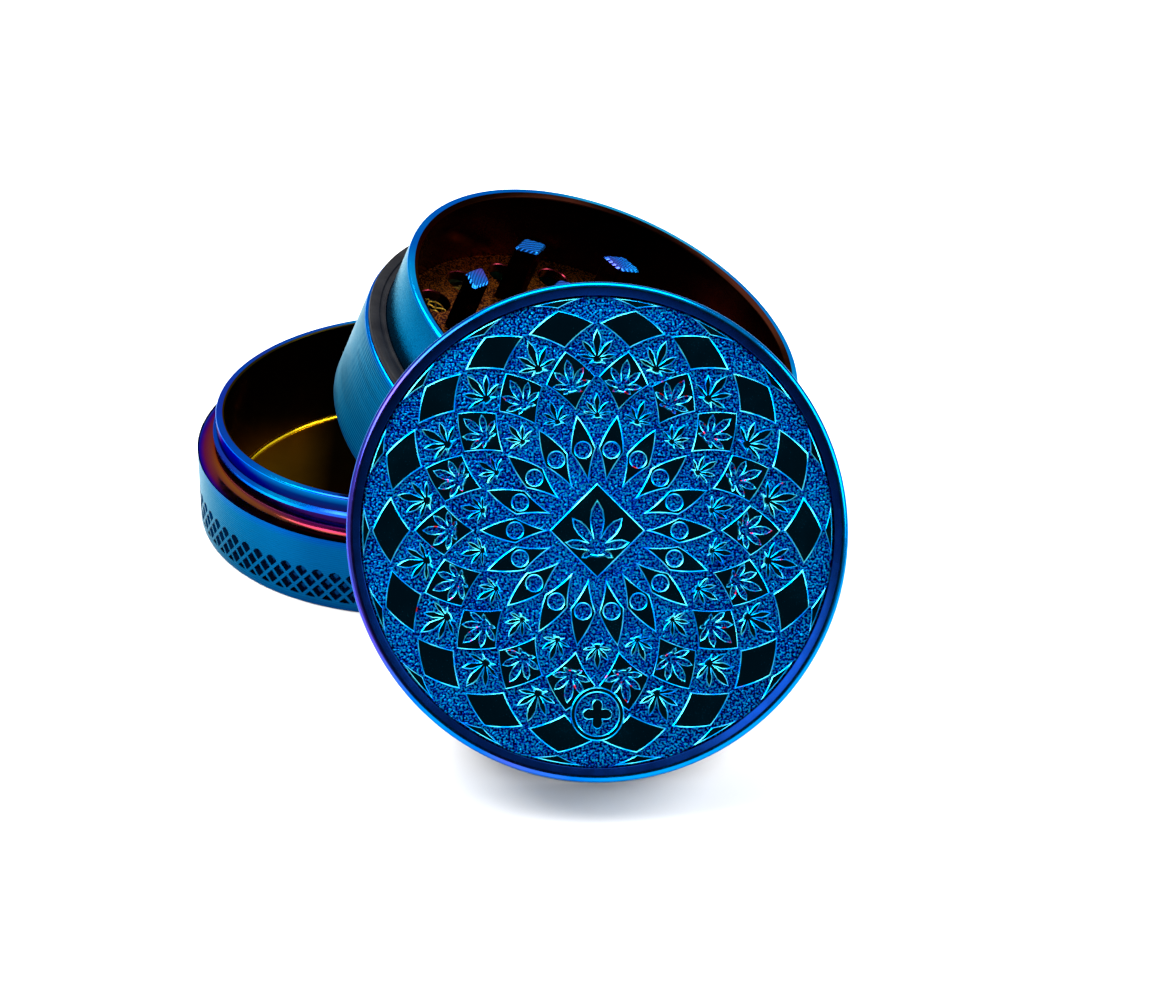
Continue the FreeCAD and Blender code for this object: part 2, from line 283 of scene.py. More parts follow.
class Nodes:
    """A material's node tree with short calls for the nodes used here."""

    def __init__(self, name, carried=False):
        """A carried-over CAD node has no upright coordinates of its own, so it uses the frame's."""
        self.material = bpy.data.materials.new(name)
        self.material.use_nodes = True
        self.tree = self.material.node_tree
        self.shader = self.tree.nodes["Principled BSDF"]
        if carried:
            self.coords = self.tree.nodes.new("ShaderNodeTexCoord").outputs["Object"]
        else:
            upright = self.tree.nodes.new("ShaderNodeAttribute")
            upright.attribute_name = "local"
            self.coords = upright.outputs["Vector"]

    def feed(self, value, socket):
        """Sets a socket to a number or a colour, or links it to the socket given as value."""
        if isinstance(value, tuple):
            socket.default_value = (*value, 1.0)
        elif isinstance(value, (int, float)):
            socket.default_value = value
        else:
            self.tree.links.new(value, socket)

    def math(self, operation, a, b=0.0):
        node = self.tree.nodes.new("ShaderNodeMath")
        node.operation = operation
        self.feed(a, node.inputs[0])
        self.feed(b, node.inputs[1])
        return node.outputs[0]

    def axes(self):
        """Sockets for the radius and the height in the piece's own frame, in millimetres."""
        flat = self.tree.nodes.new("ShaderNodeVectorMath")
        flat.operation = "MULTIPLY"
        flat.inputs[1].default_value = (1 / MM, 1 / MM, 0)
        self.feed(self.coords, flat.inputs[0])
        length = self.tree.nodes.new("ShaderNodeVectorMath")
        length.operation = "LENGTH"
        self.feed(flat.outputs[0], length.inputs[0])
        return length.outputs["Value"], self.along("Z")

    def along(self, axis):
        """A socket for one coordinate of the piece's own frame, in millimetres."""
        split = self.tree.nodes.new("ShaderNodeSeparateXYZ")
        self.feed(self.coords, split.inputs[0])
        return self.math("MULTIPLY", split.outputs[axis], 1 / MM)

    def noise(self, scale, detail=3.0, rough=0.5, vector=None):
        node = self.tree.nodes.new("ShaderNodeTexNoise")
        node.inputs["Scale"].default_value = scale
        node.inputs["Detail"].default_value = detail
        node.inputs["Roughness"].default_value = rough
        self.feed(vector or self.coords, node.inputs["Vector"])
        return node.outputs["Fac"]

    def lines(self, value, per_mm):
        """Fine turning lines: noise along one measure only."""
        vector = self.tree.nodes.new("ShaderNodeCombineXYZ")
        self.feed(self.math("MULTIPLY", value, per_mm), vector.inputs[0])
        return self.noise(1.0, 2.0, 0.6, vector.outputs[0])

    def ramp(self, value, stops):
        node = self.tree.nodes.new("ShaderNodeValToRGB")
        ends = node.color_ramp.elements
        while len(ends) < len(stops):
            ends.new(0.5)
        for element, (place, colour) in zip(ends, stops):
            element.position = place
            element.color = (*colour, 1.0)
        self.feed(value, node.inputs[0])
        return node.outputs[0]

    def fit(self, value, low, high, to_low=0.0, to_high=1.0):
        """value mapped from low..high to to_low..to_high, and held between them."""
        node = self.tree.nodes.new("ShaderNodeMapRange")
        for socket, number in zip(node.inputs[1:5], (low, high, to_low, to_high)):
            socket.default_value = number
        self.feed(value, node.inputs[0])
        return node.outputs[0]

    def mix(self, factor, a, b, mode="MIX"):
        node = self.tree.nodes.new("ShaderNodeMix")
        node.data_type = "RGBA"
        node.blend_type = mode
        for value, number in ((factor, 0), (a, 6), (b, 7)):
            self.feed(value, node.inputs[number])
        return node.outputs[2]

    def bump(self, height, distance):
        node = self.tree.nodes.new("ShaderNodeBump")
        node.inputs["Distance"].default_value = distance
        self.feed(height, node.inputs["Height"])
        return node.outputs[0]

    def done(self, colour, roughness, normal=None, metallic=1.0, tint=None):
        self.feed(colour, self.shader.inputs["Base Color"])
        self.feed(roughness, self.shader.inputs["Roughness"])
        self.feed(metallic, self.shader.inputs["Metallic"])
        if tint is not None:
            self.feed(tint, self.shader.inputs["Specular Tint"])
        if normal is not None:
            self.feed(normal, self.shader.inputs["Normal"])
        return self.material


# ---- materials; colours are linear, noise scales are per metre ----

def satin_blue(name, low, high, line_mm, tone, line_bump=0.01, roughness=0.3):
    """Blue coating over turned metal: fine turning lines, painted shade and highlight at its ends,
    wandering tint.
    It covers heights low..high; tone scales its green and its blue."""
    green, blue = tone
    n = Nodes(name)
    _, height = n.axes()
    waves = n.math("SINE", n.math("MULTIPLY", height, 2 * math.pi / line_mm))
    fine = n.math("ADD", waves, n.math("MULTIPLY", n.lines(height, 2 / line_mm), 2.0))
    drift = n.noise(60.0, 2.0)
    shade = n.mix(n.fit(drift, 0.35, 0.7), (0.0, 0.095 * green, 0.215 * blue),
                  (0.0, 0.135 * green, 0.285 * blue))
    lined = n.mix(n.fit(fine, -0.4, 2.4), (0.66, 0.72, 0.8), (1.2, 1.16, 1.1))
    # Painted shade and highlight: deeper blue over the low tenth, where the part meets the next,
    # and brighter blue over the high tenth, along the top edge.
    ends = n.ramp(n.fit(height, low, high), [(0.0, (0.5, 0.55, 1.0)), (0.1, (1.0, 1.0, 1.0)),
                                             (0.9, (1.0, 1.0, 1.0)), (1.0, (0.6, 0.8, 1.3))])
    colour = n.mix(1.0, n.mix(1.0, shade, lined, "MULTIPLY"), ends, "MULTIPLY")
    grain = n.fit(n.noise(3000.0, 2.0), 0.3, 0.7, roughness - 0.02, roughness + 0.03)
    return n.done(colour, grain, n.bump(fine, line_bump * MM), tint=(0.51, 0.79, 0.82))


def bright_blue(name, dull, middle, bright):
    """Polished edges: saturated blue that wanders towards violet; the violet gained on the -X side
    is a painted sheen.
    """
    n = Nodes(name)
    # Painted sheen: the X term pushes the colour towards violet on the -X side.
    drift = n.math("ADD", n.noise(38.0, 2.0), n.math("MULTIPLY", n.along("X"), 0.0025))
    colour = n.ramp(drift, [(0.32, dull), (0.46, middle), (0.6, bright)])
    rough = n.fit(n.noise(700.0), 0.3, 0.7, 0.12, 0.22)
    return n.done(colour, rough, n.bump(n.noise(1800.0), 0.002 * MM), tint=(0.4, 0.65, 1.0))


def bronze(name, colour_low, colour_high, low, high, along="z", roughness=0.22,
           painted_light=(1.0, 1.0), mottle=1.0, painted_light_over=(-26.0, 12.0)):
    """Dark coating, fading across low..high millimetres of height, or of radius if along is "r".
    lit gives the brightness at the two ends of painted_light_over, along X: painted light on one
    side and painted shade on the other; mottle scales the cloudiness."""
    n = Nodes(name)
    radius, height = n.axes()
    measure = height if along == "z" else radius
    shade = n.mix(n.fit(measure, low, high), colour_low, colour_high)
    cloud = n.fit(n.noise(110.0, 4.0), 0.3, 0.75)
    mottled = n.mix(cloud, tuple(1 - mottle * c for c in (0.2, 0.25, 0.3)),
                    (1 + mottle * 0.15, 1.0, 1.0))
    colour = n.mix(1.0, shade, mottled, "MULTIPLY")
    # Painted light and shade: the colour is brightened towards one end along X and darkened towards
    # the other.
    side = n.fit(n.along("X"), *painted_light_over, *painted_light)
    colour = n.mix(1.0, colour, side, "MULTIPLY")
    fine = n.lines(measure, 5.0)
    rough = n.fit(n.noise(500.0), 0.3, 0.7,
                  roughness - 0.05 * mottle, roughness + 0.06 * mottle)
    return n.done(colour, rough, n.bump(fine, 0.004 * MM * mottle), tint=(0.6, 0.5, 0.4))


SHOULDER_WALK = 8.6  # from the band's outer edge in to the neck and up to the rim


def shoulder_film(name):
    """The cup's shoulder and neck: dark violet and brown; the orange to magenta band between is
    film colour brightened into a painted highlight on the fillet. The colours follow the distance
    walked; the brighter, oranger colours on the -X side are painted light."""
    n = Nodes(name)
    radius, height = n.axes()
    inward = n.math("SUBTRACT", OUTER_R, radius)
    walked = n.math("ADD", inward, n.math("SUBTRACT", height, CUP_BAND_H))
    front = n.ramp(n.fit(walked, 0.0, SHOULDER_WALK), [
        (0.0, (0.0, 0.12, 0.5)), (0.035, (0.0, 0.05, 0.3)), (0.06, (0.02, 0.006, 0.012)),
        (0.2, (0.03, 0.008, 0.006)), (0.28, (0.07, 0.012, 0.006)), (0.345, (0.14, 0.008, 0.03)),
        (0.39, (0.11, 0.004, 0.07)), (0.46, (0.02, 0.003, 0.03)), (0.62, (0.012, 0.002, 0.05)),
        (0.74, (0.003, 0.003, 0.045)), (0.86, (0.0, 0.008, 0.07)), (1.0, (0.0, 0.10, 0.3))])
    left = n.ramp(n.fit(walked, 0.0, SHOULDER_WALK), [
        (0.0, (0.02, 0.12, 0.5)), (0.04, (0.03, 0.02, 0.3)), (0.12, (0.17, 0.035, 0.06)),
        (0.22, (0.22, 0.06, 0.03)), (0.33, (0.33, 0.11, 0.012)), (0.4, (0.20, 0.05, 0.02)),
        (0.5, (0.04, 0.01, 0.04)), (0.64, (0.008, 0.004, 0.05)), (0.8, (0.0, 0.012, 0.09)),
        (1.0, (0.0, 0.06, 0.24))])
    # Painted light: the brighter, oranger left ramp takes over on the -X side.
    colour = n.mix(n.fit(n.along("X"), -29.0, -15.0), left, front)
    rough = n.fit(n.noise(400.0), 0.3, 0.7, 0.1, 0.2)
    return n.done(colour, rough, n.bump(n.lines(walked, 4.0), 0.002 * MM), tint=(0.3, 0.2, 0.45))


GROUND_SPAN = (6.0, 29.0)  # radii between which the ground's grain gains contrast


def grained_ground(name, dark, middle, bright, grain, scale):
    """Sand-blasted ground between raised figures: dark pits as painted shade, a plain tone and
    bright specks as painted glints.
    grain is the height of its bump, in millimetres."""
    n = Nodes(name)
    radius, _ = n.axes()
    grit = n.noise(scale, 1.0, 0.5)
    cloud = n.noise(170.0, 3.0)
    outwards = n.fit(radius, *GROUND_SPAN, 0.505, 0.47)
    contrast = n.fit(radius, *GROUND_SPAN, 1.6, 2.1)
    spread = n.math("MULTIPLY", n.math("SUBTRACT", grit, 0.5), contrast)
    tone = n.math("ADD", n.math("ADD", spread, outwards), n.fit(cloud, 0.3, 0.7, -0.05, 0.05))
    painted_glint = tuple(min(1.0, 1.25 * c) for c in bright)
    # Painted shade and glints follow the grain's noise: its low spots dark, its high spots bright,
    # more strongly towards the rim.
    colour = n.ramp(tone, [(0.41, dark), (0.455, middle), (0.55, middle), (0.61, bright),
                           (0.66, painted_glint)])
    return n.done(colour, 0.34, n.bump(grit, grain * MM), tint=(0.1, 0.4, 1.0))


def polished_dark(name):
    """Mirror-flat tops of the raised figures, with faint bright specks as painted glints, and
    wipes.
    """
    n = Nodes(name)
    glint_specks = n.noise(2600.0, 3.0, 0.7)
    wipe = n.noise(260.0, 3.0)
    # Painted glints: bright cyan where the speck noise is high.
    colour = n.mix(n.fit(glint_specks, 0.68, 0.76), (0.0, 0.12, 0.24), (0.02, 0.6, 0.9))
    rough = n.fit(wipe, 0.35, 0.75, 0.08, 0.2)
    return n.done(colour, rough, n.bump(glint_specks, 0.002 * MM))


def relief_edge(name, red_below, scale):
    """Bevelled outlines of the raised figures: bright cyan-blue as a painted highlight along the
    bevels, red where its noise is low.
    """
    n = Nodes(name)
    colour = n.ramp(n.noise(scale, 2.0), [
        (red_below - 0.04, (0.6, 0.02, 0.01)), (red_below, (0.0, 0.16, 0.8)),
        (0.46, (0.0, 0.4, 0.95)), (0.66, (0.08, 0.85, 1.0))])
    return n.done(colour, 0.25, n.bump(n.noise(2500.0), 0.006 * MM), tint=(0.5, 0.85, 1.0))


def polymer(name):
    """Matt black plastic, turned."""
    n = Nodes(name)
    cloud = n.noise(300.0, 4.0)
    colour = n.mix(n.fit(cloud, 0.3, 0.7), (0.004, 0.004, 0.006), (0.012, 0.012, 0.014))
    rough = n.fit(n.noise(1500.0), 0.3, 0.7, 0.42, 0.6)
    radius, _ = n.axes()
    height = n.math("ADD", n.lines(radius, 6.0), n.math("MULTIPLY", n.noise(4000.0), 0.6))
    n.shader.inputs["Specular IOR Level"].default_value = 0.07
    return n.done(colour, rough, n.bump(height, 0.01 * MM), metallic=0.0)


def steel(name, colour, roughness=0.3, carried=False):
    """Uncoated metal with faint scratches."""
    n = Nodes(name, carried)
    scratches = n.noise(700.0, 4.0, 0.7)
    shade = n.mix(n.fit(scratches, 0.3, 0.7), tuple(c * 0.85 for c in colour), colour)
    rough = n.fit(scratches, 0.3, 0.7, roughness - 0.06, roughness + 0.08)
    return n.done(shade, rough, n.bump(scratches, 0.003 * MM))


TOOTH_LINE_MM = 0.4


def tooth_top(name):
    """Blue tops of the teeth, with the arcs left by the turning tool."""
    n = Nodes(name)
    radius, _ = n.axes()
    waves = n.math("SINE", n.math("MULTIPLY", radius, 2 * math.pi / TOOTH_LINE_MM))
    drift = n.noise(70.0, 1.0)
    colour = n.ramp(drift, [(0.36, (0.10, 0.04, 0.4)), (0.44, (0.01, 0.13, 0.6)),
                            (0.62, (0.0, 0.27, 0.7))])
    arcs = n.mix(n.fit(waves, -1.0, 1.0), (0.35, 0.4, 0.5), (1.2, 1.2, 1.2))
    lined = n.mix(1.0, colour, arcs, "MULTIPLY")
    return n.done(lined, 0.26, n.bump(waves, 0.03 * MM), tint=(0.6, 0.8, 1.0))


def tooth_side(name):
    """Dark brown flanks with soft streaks."""
    n = Nodes(name)
    streaks = n.noise(500.0, 3.0)
    colour = n.mix(n.fit(streaks, 0.3, 0.7), (0.004, 0.0015, 0.001), (0.02, 0.007, 0.003))
    rough = n.fit(streaks, 0.3, 0.7, 0.22, 0.36)
    return n.done(colour, rough, n.bump(streaks, 0.004 * MM), tint=(0.4, 0.3, 0.3))


M = {
    "cup_band": satin_blue("cup_band_blue", 0.0, CUP_BAND_H, 0.33, (0.56, 0.74)),
    # Knurl pockets: coloured far darker than the band, painted shade in the recesses.
    "cup_pocket": bronze("knurl_pocket_painted_shade", (0.0, 0.012, 0.06), (0.0, 0.03, 0.12), 0.0, 6.0,
                         roughness=0.3),
    "edge": bright_blue("polished_edge_blue",
                        (0.02, 0.03, 0.42), (0.0, 0.10, 0.55), (0.0, 0.34, 0.72)),
    "shoulder": shoulder_film("shoulder_film"),
    # The bright gold at the wall's foot is a painted reflection of the gold corner; the side factor
    # paints light on the -X side and shade towards +X.
    "cup_wall": bronze("cup_wall_bronze_painted_reflection", (0.12, 0.08, 0.003), (0.011, 0.008, 0.0008), CUP_FLOOR,
                       11.0, painted_light=(2.4, 0.35), mottle=0.4, painted_light_over=(-27.0, -4.0)),
    # The side factor paints light on the -X side and the rim's shadow towards +X.
    "cup_floor": bronze("cup_floor_gold_painted_light_and_shadow", (0.02, 0.009, 0.0008), (0.07, 0.036, 0.001), 6.0, 26.0,
                        along="r", roughness=0.3, painted_light=(3.8, 0.1), mottle=0.25,
                        painted_light_over=(-25.0, -13.0)),
    # The fillet's bright gold is its film colour raised into a painted highlight line, brighter
    # towards -X.
    "cup_corner": bronze("cup_corner_gold_painted_highlight", (1.0, 0.6, 0.01), (0.6, 0.34, 0.01), CUP_FLOOR,
                         CUP_FLOOR + 1.0, roughness=0.2, painted_light=(1.3, 1.0), mottle=0.1),
    "ring": satin_blue("ring_blue", 0.0, RING_H, 0.4, (0.6, 0.74), line_bump=0.02),
    "neck": satin_blue("neck_blue", FOOT_TOP, CHAMBER_TOP, 0.25, (0.72, 0.88), line_bump=0.004,
                       roughness=0.27),
    "mouth_rim": bright_blue("mouth_rim_blue",
                             (0.0, 0.12, 0.6), (0.0, 0.26, 0.72), (0.02, 0.46, 0.85)),
    # The side factor paints shade on the -X side and light on the +X side.
    "bore": bronze("chamber_bore_brown", (0.03, 0.007, 0.002), (0.006, 0.0015, 0.0008), FLOOR_TOP,
                   23.0, painted_light=(0.5, 1.4)),
    "floor": grained_ground("chamber_floor_brown", (0.012, 0.003, 0.001), (0.07, 0.013, 0.002),
                            (0.26, 0.08, 0.008), grain=0.04, scale=4600.0),
    "hole_wall": bronze("hole_wall_brown", (0.012, 0.004, 0.001), (0.03, 0.008, 0.002), 12.0,
                        FLOOR_TOP, roughness=0.3),
    "hole": bronze("hole_edge_magenta", (0.16, 0.012, 0.02), (0.2, 0.02, 0.04), 12.0, FLOOR_TOP,
                   roughness=0.25),
    "under": bronze("underside_blue", (0.0, 0.015, 0.05), (0.0, 0.03, 0.1), 0.0, 12.0,
                    roughness=0.32),
    "lid_side": satin_blue("lid_side_blue", 0.0, LID_H, 0.22, (0.75, 0.85), line_bump=0.003,
                           roughness=0.2),
    "lid_rim": bright_blue("lid_rim_blue",
                           (0.055, 0.04, 0.38), (0.0, 0.085, 0.4), (0.0, 0.15, 0.44)),
    "lid_bevel": bronze("lid_bevel_navy", (0.0, 0.006, 0.05), (0.001, 0.014, 0.10), 11.0, LID_H,
                        roughness=0.24),
    "lid_inside": bronze("lid_inside_brown", (0.03, 0.012, 0.004), (0.015, 0.006, 0.003), 0.0,
                         LID_SKIRT),
    "ground": grained_ground("relief_ground_blue", (0.0, 0.001, 0.04), (0.0, 0.052, 1.0),
                             (0.0, 0.44, 1.0), grain=0.12, scale=3500.0),
    "top": polished_dark("relief_top_polished"),
    "outline": relief_edge("relief_outline_painted_highlight", 0.29, 420.0),
    "fringe": relief_edge("relief_leaf_fringe", 0.37, 1300.0),
    "polymer": polymer("slip_ring_polymer"),
    "magnet": steel("magnet_nickel", (0.62, 0.63, 0.65), 0.2, carried=True),
    "clip": steel("clip_steel", (0.16, 0.15, 0.14), carried=True),
    "rim": steel("mesh_rim_steel", (0.12, 0.09, 0.05), carried=True),
    "wire": steel("mesh_wire_brass", (1.0, 0.6, 0.07), 0.32),
    "tooth_top": tooth_top("tooth_top_blue"),
    "tooth_side": tooth_side("tooth_side_brown"),
}
CARRIED = {"mesh_rim": "rim", "mesh_clip": "clip",  # CAD nodes that stay, and their looks
           "chamber_magnet": "magnet", "lid_magnet": "magnet"}


def pick(*keys):
    """The materials of a piece, and the number of each for its faces."""
    return [M[key] for key in keys], range(len(keys))


# ---- cup ----
KNURL_COLUMNS = 76
KNURL_HALF_H = 1.35
KNURL_ROWS = ((5.2, "arch"), (3.85, "full"), (2.5, "full"), (1.15, "foot"))  # height, form
KNURL_DEPTH = 0.5
KNURL_TOP = 6.9
POCKET_SHARE, POCKET_FLOOR_SHARE = 0.76, 0.45
# Outlines in half widths and half heights of a cell; each has eight points.
DIAMOND = ((1, 0), (0.5, 0.5), (0, 1), (-0.5, 0.5), (-1, 0), (-0.5, -0.5), (0, -1), (0.5, -0.5))
FOOT_POCKET = ((0.62, 0.14), (0.36, 0.42), (0, 0.74), (-0.36, 0.42), (-0.62, 0.14), (-0.3, 0.12),
               (0, 0.12), (0.3, 0.12))


def knurl_cell(build, centre_angle, z, form, ridge, shaded_hollow):
    """One diamond of the knurl: a flat ridge frame round a sunken pocket."""
    half_w = 180.0 / KNURL_COLUMNS
    full = list(DIAMOND)
    pocket = [(u * POCKET_SHARE, v * POCKET_SHARE) for u, v in full]
    if form == "arch":
        pocket[1:4] = (0.5, 0.36), (0, 0.56), (-0.5, 0.36)
    if form == "foot":
        full[5:8] = (-0.5, 0), (0, 0), (0.5, 0)
        pocket = FOOT_POCKET
    middle_v = sum(v for _, v in pocket) / len(pocket)
    deep = [(u * POCKET_FLOOR_SHARE, middle_v + (v - middle_v) * POCKET_FLOOR_SHARE)
            for u, v in pocket]
    loops = []
    for outline, radius in ((full, OUTER_R), (pocket, OUTER_R), (deep, OUTER_R - KNURL_DEPTH)):
        loops.append([build.add(polar(radius, centre_angle + u * half_w, z + v * KNURL_HALF_H))
                      for u, v in outline])
    for low, high, kind in zip(loops, loops[1:], (ridge, shaded_hollow)):
        build.band(low, high, kind)
    build.face(loops[2], shaded_hollow)


def knurl(build, ridge, shaded_hollow):
    """The knurled zone of the cup's band, from its straight lower edge up to KNURL_TOP."""
    step = 360.0 / KNURL_COLUMNS
    for row, (z, form) in enumerate(KNURL_ROWS):
        for k in range(KNURL_COLUMNS):
            knurl_cell(build, (k + 0.5 * (row % 2)) * step, z, form, ridge, shaded_hollow)
    top_z = KNURL_ROWS[0][0]
    for k in range(KNURL_COLUMNS):
        for side in (-1, 1):
            half = side * step / 2
            points = [build.add(polar(OUTER_R, k * step + u * half, z)) for u, z in (
                (0, top_z + KNURL_HALF_H), (0.5, top_z + 0.5 * KNURL_HALF_H), (1, top_z),
                (1, KNURL_TOP), (0.5, KNURL_TOP), (0, KNURL_TOP))]
            build.face((points[0], points[1], points[4], points[5]), ridge)
            build.face((points[1], points[2], points[3], points[4]), ridge)


def cup():
    build = Builder()
    materials, (band, pocket, shoulder, edge, wall, corner, bottom, under) = pick(
        "cup_band", "cup_pocket", "shoulder", "edge", "cup_wall", "cup_corner", "cup_floor",
        "under")
    knurl(build, band, pocket)
    steps = KNURL_COLUMNS * 4
    above = CUP_TOP + 5  # closes the outline for rounded(), and is cut off again
    upper = [(OUTER_R, KNURL_TOP, band)] + rounded([
        (OUTER_R, CUP_BAND_H, 0.35, shoulder), (CUP_THREAD_ROOT_R, CUP_BAND_H, 1.1, shoulder),
        (CUP_THREAD_ROOT_R, CUP_TOP, 0.3, edge), (CUP_BORE_R, CUP_TOP, 0.3, wall),
        (CUP_BORE_R, CUP_FLOOR, 0.55, corner), (0, CUP_FLOOR, 0, bottom),
        (0, above, 0, band), (OUTER_R, above, 0, band),
    ], 8)[:-2]
    corner_end = max(i for i, point in enumerate(upper) if point[2] == corner)
    upper[corner_end] = (*upper[corner_end][:2], bottom)
    lathe(build, upper, steps, closed=False)
    lathe(build, [(0, 0, under), (OUTER_R - 0.4, 0, under), (OUTER_R - 0.12, 0.12, band),
                  (OUTER_R, 0.4, band), (OUTER_R, KNURL_ROWS[-1][0], band)], steps, closed=False)
    thread(build, CUP_THREAD_ROOT_R, CUP_THREAD_CREST_R, CUP_THREAD_PITCH, CUP_THREAD_TURNS,
           CUP_THREAD_Z, edge)
    build.piece("cup", "cup", CUP_PLACE, materials, ["cup_shell"])


# ---- sieve ring, mesh, slip ring ----

def sieve_ring():
    build = Builder()
    materials, (outside, rim, inside) = pick("ring", "mouth_rim", "under")
    lathe(build, rounded([
        (OUTER_R, 0, 0.5, outside), (OUTER_R, RING_H, 0.4, rim),
        (UPPER_SOCKET_R, RING_H, 0.2, inside), (UPPER_SOCKET_R, MESH_POCKET_TOP, 0, inside),
        (MESH_POCKET_R, MESH_POCKET_TOP, 0, inside), (MESH_POCKET_R, LEDGE_TOP, 0, inside),
        (LEDGE_R, LEDGE_TOP, 0.15, inside), (LEDGE_R, SOCKET_DEPTH, 0.15, inside),
        (SOCKET_R, SOCKET_DEPTH, 0.3, inside), (SOCKET_R, 0, 0.3, inside),
    ]))
    thread(build, SOCKET_R, SOCKET_CREST_R, CUP_THREAD_PITCH, CUP_THREAD_TURNS, SOCKET_THREAD_Z,
           inside)
    thread(build, UPPER_SOCKET_R, UPPER_CREST_R, FOOT_PITCH, FOOT_TURNS,
           FOOT_THREAD_Z + FOOT_PITCH / 2, inside)
    build.piece("sieve_ring_turned", "sieve", CHAMBER_PLACE, materials,
                ["sieve_ring"])


MESH_R = 26.35
MESH_MIDDLE = LEDGE_TOP + 0.4
MESH_PITCH = 1.05
WIRE_R, WIRE_SIDES = 0.12, 5
WIRE_SHORTER = 0.05  # its ends stay this far inside MESH_R


def woven_mesh():
    """Plain weave: each wire rises and falls over the crossing ones."""
    build = Builder()
    count = int(MESH_R / MESH_PITCH)
    for along_x in (True, False):
        for line in range(-count, count + 1):
            offset = line * MESH_PITCH
            reach = math.sqrt(max(MESH_R ** 2 - offset ** 2, 0)) - WIRE_SHORTER
            if reach < MESH_PITCH:
                continue
            stations = max(4, int(reach * 2 / (MESH_PITCH / 2)))
            rings = []
            for s in range(stations + 1):
                t = -reach + 2 * reach * s / stations
                swing = math.cos(math.pi * (t / MESH_PITCH + line)) * WIRE_R
                z = MESH_MIDDLE + (swing if along_x else -swing)
                ring = []
                for corner in range(WIRE_SIDES):
                    across, up, _ = polar(WIRE_R, 360 / WIRE_SIDES * corner)
                    point = (t, offset + across) if along_x else (offset + across, t)
                    ring.append(build.add((*point, z + up)))
                rings.append(ring)
            for low, high in zip(rings, rings[1:]):
                build.band(low, high)
            build.face(rings[0])
            build.face(rings[-1])
    build.piece("woven_mesh", "sieve", CHAMBER_PLACE, [M["wire"]], ["sieve_mesh"])


def slip_ring():
    build = Builder()
    top = SLIP_BOTTOM + SLIP_H
    groove = top - 0.18
    lathe(build, rounded([
        (SLIP_OUTER_R, SLIP_BOTTOM, 0.1, 0), (SLIP_OUTER_R, top, 0.25, 0),
        (SLIP_INNER_R + 0.9, top, 0.1, 0), (SLIP_INNER_R + 0.75, groove, 0.1, 0),
        (SLIP_INNER_R + 0.25, groove, 0.1, 0), (SLIP_INNER_R + 0.15, top, 0.05, 0),
        (SLIP_INNER_R, top, 0, 0), (SLIP_INNER_R, SLIP_BOTTOM, 0, 0),
    ], 3))
    build.piece("slip_ring_polymer", "slip", CHAMBER_PLACE, [M["polymer"]],
                ["slip_ring"])


# ---- chamber ----

def chamber():
    build = Builder()
    materials, (neck, rim, bore, plate, under) = pick("neck", "mouth_rim", "bore", "floor",
                                                      "under")
    lathe(build, rounded([
        (NECK_R, FOOT_TOP, 0.15, neck), (NECK_R, CHAMBER_TOP, 0.4, rim),
        (NECK_R - 0.95, CHAMBER_TOP - 0.02, 0.1, bore),
        (NECK_BORE_R, CHAMBER_TOP - 0.4, 0.3, bore), (NECK_BORE_R, FLOOR_TOP, 0, plate),
        (PLATE_R, FLOOR_TOP, 0, plate), (PLATE_R, FLOOR_LOW, 0, under),
        (FOOT_BORE_R, FLOOR_LOW, 0, under), (FOOT_BORE_R, FOOT_BOTTOM, 0.2, under),
        (FOOT_ROOT_R, FOOT_BOTTOM, 0.2, under), (FOOT_ROOT_R, FOOT_TOP, 0, under),
    ]))
    thread(build, FOOT_ROOT_R, FOOT_CREST_R, FOOT_PITCH, FOOT_TURNS, FOOT_THREAD_Z, under)
    seat, post_foot = POST_TOP - MAGNET_H, FLOOR_TOP - 0.2
    lathe(build, rounded([
        (0, seat, 0, under), (MAGNET_R, seat, 0, under), (MAGNET_R, POST_TOP, 0.15, rim),
        (POST_R, POST_TOP, 0.35, bore), (POST_R, post_foot, 0, under), (0, post_foot, 0, under),
    ]), POST_STEPS)
    build.piece("chamber_turned", "chamber", CHAMBER_PLACE, materials,
                ["chamber_shell"])


HOLE_LIP_WIDER, HOLE_LIP_H = 0.09, 0.1


def drilled_floor():
    """The chamber's floor plate, with its two circles of holes and their bevelled edges."""
    build = Builder()
    materials, (above, below, lip_kind, wall) = pick("floor", "under", "hole", "hole_wall")
    rim = [polar(PLATE_R, 3.0 * k)[:2] for k in range(120)]
    holes = []
    for count, circle_r, hole_r in HOLE_RINGS:
        for k in range(count):
            cx, cy, _ = polar(circle_r, HOLE_PHASE + k * 360.0 / count)
            holes.append([(cx + hole_r * math.cos(a), cy + hole_r * math.sin(a))
                          for a in (math.radians(-10 * s) for s in range(36))])
    loops = []
    for z, kind, wider in ((FLOOR_TOP, above, HOLE_LIP_WIDER), (FLOOR_LOW, below, 0.0)):
        numbered = [[build.add((x, y, z)) for x, y in rim]]
        for hole in holes:
            ring = inset(hole, wider) if wider else hole
            numbered.append([build.add((x, y, z)) for x, y in ring])
        loops.append(numbered)
        flat = [i for ring in numbered for i in ring]
        for corners in tessellate_polygon([[Vector(build.points[i]) for i in ring]
                                           for ring in numbered]):
            build.face([flat[corner] for corner in corners], kind)
    (top_rim, *tops), (low_rim, *lows) = loops
    build.band(low_rim, top_rim, below)
    for hole, top, low in zip(holes, tops, lows):
        lip = [build.add((x, y, FLOOR_TOP - HOLE_LIP_H)) for x, y in hole]
        build.band(top, lip, lip_kind)
        build.band(lip, low, wall)
    build.piece("drilled_floor", "chamber", CHAMBER_PLACE, materials)


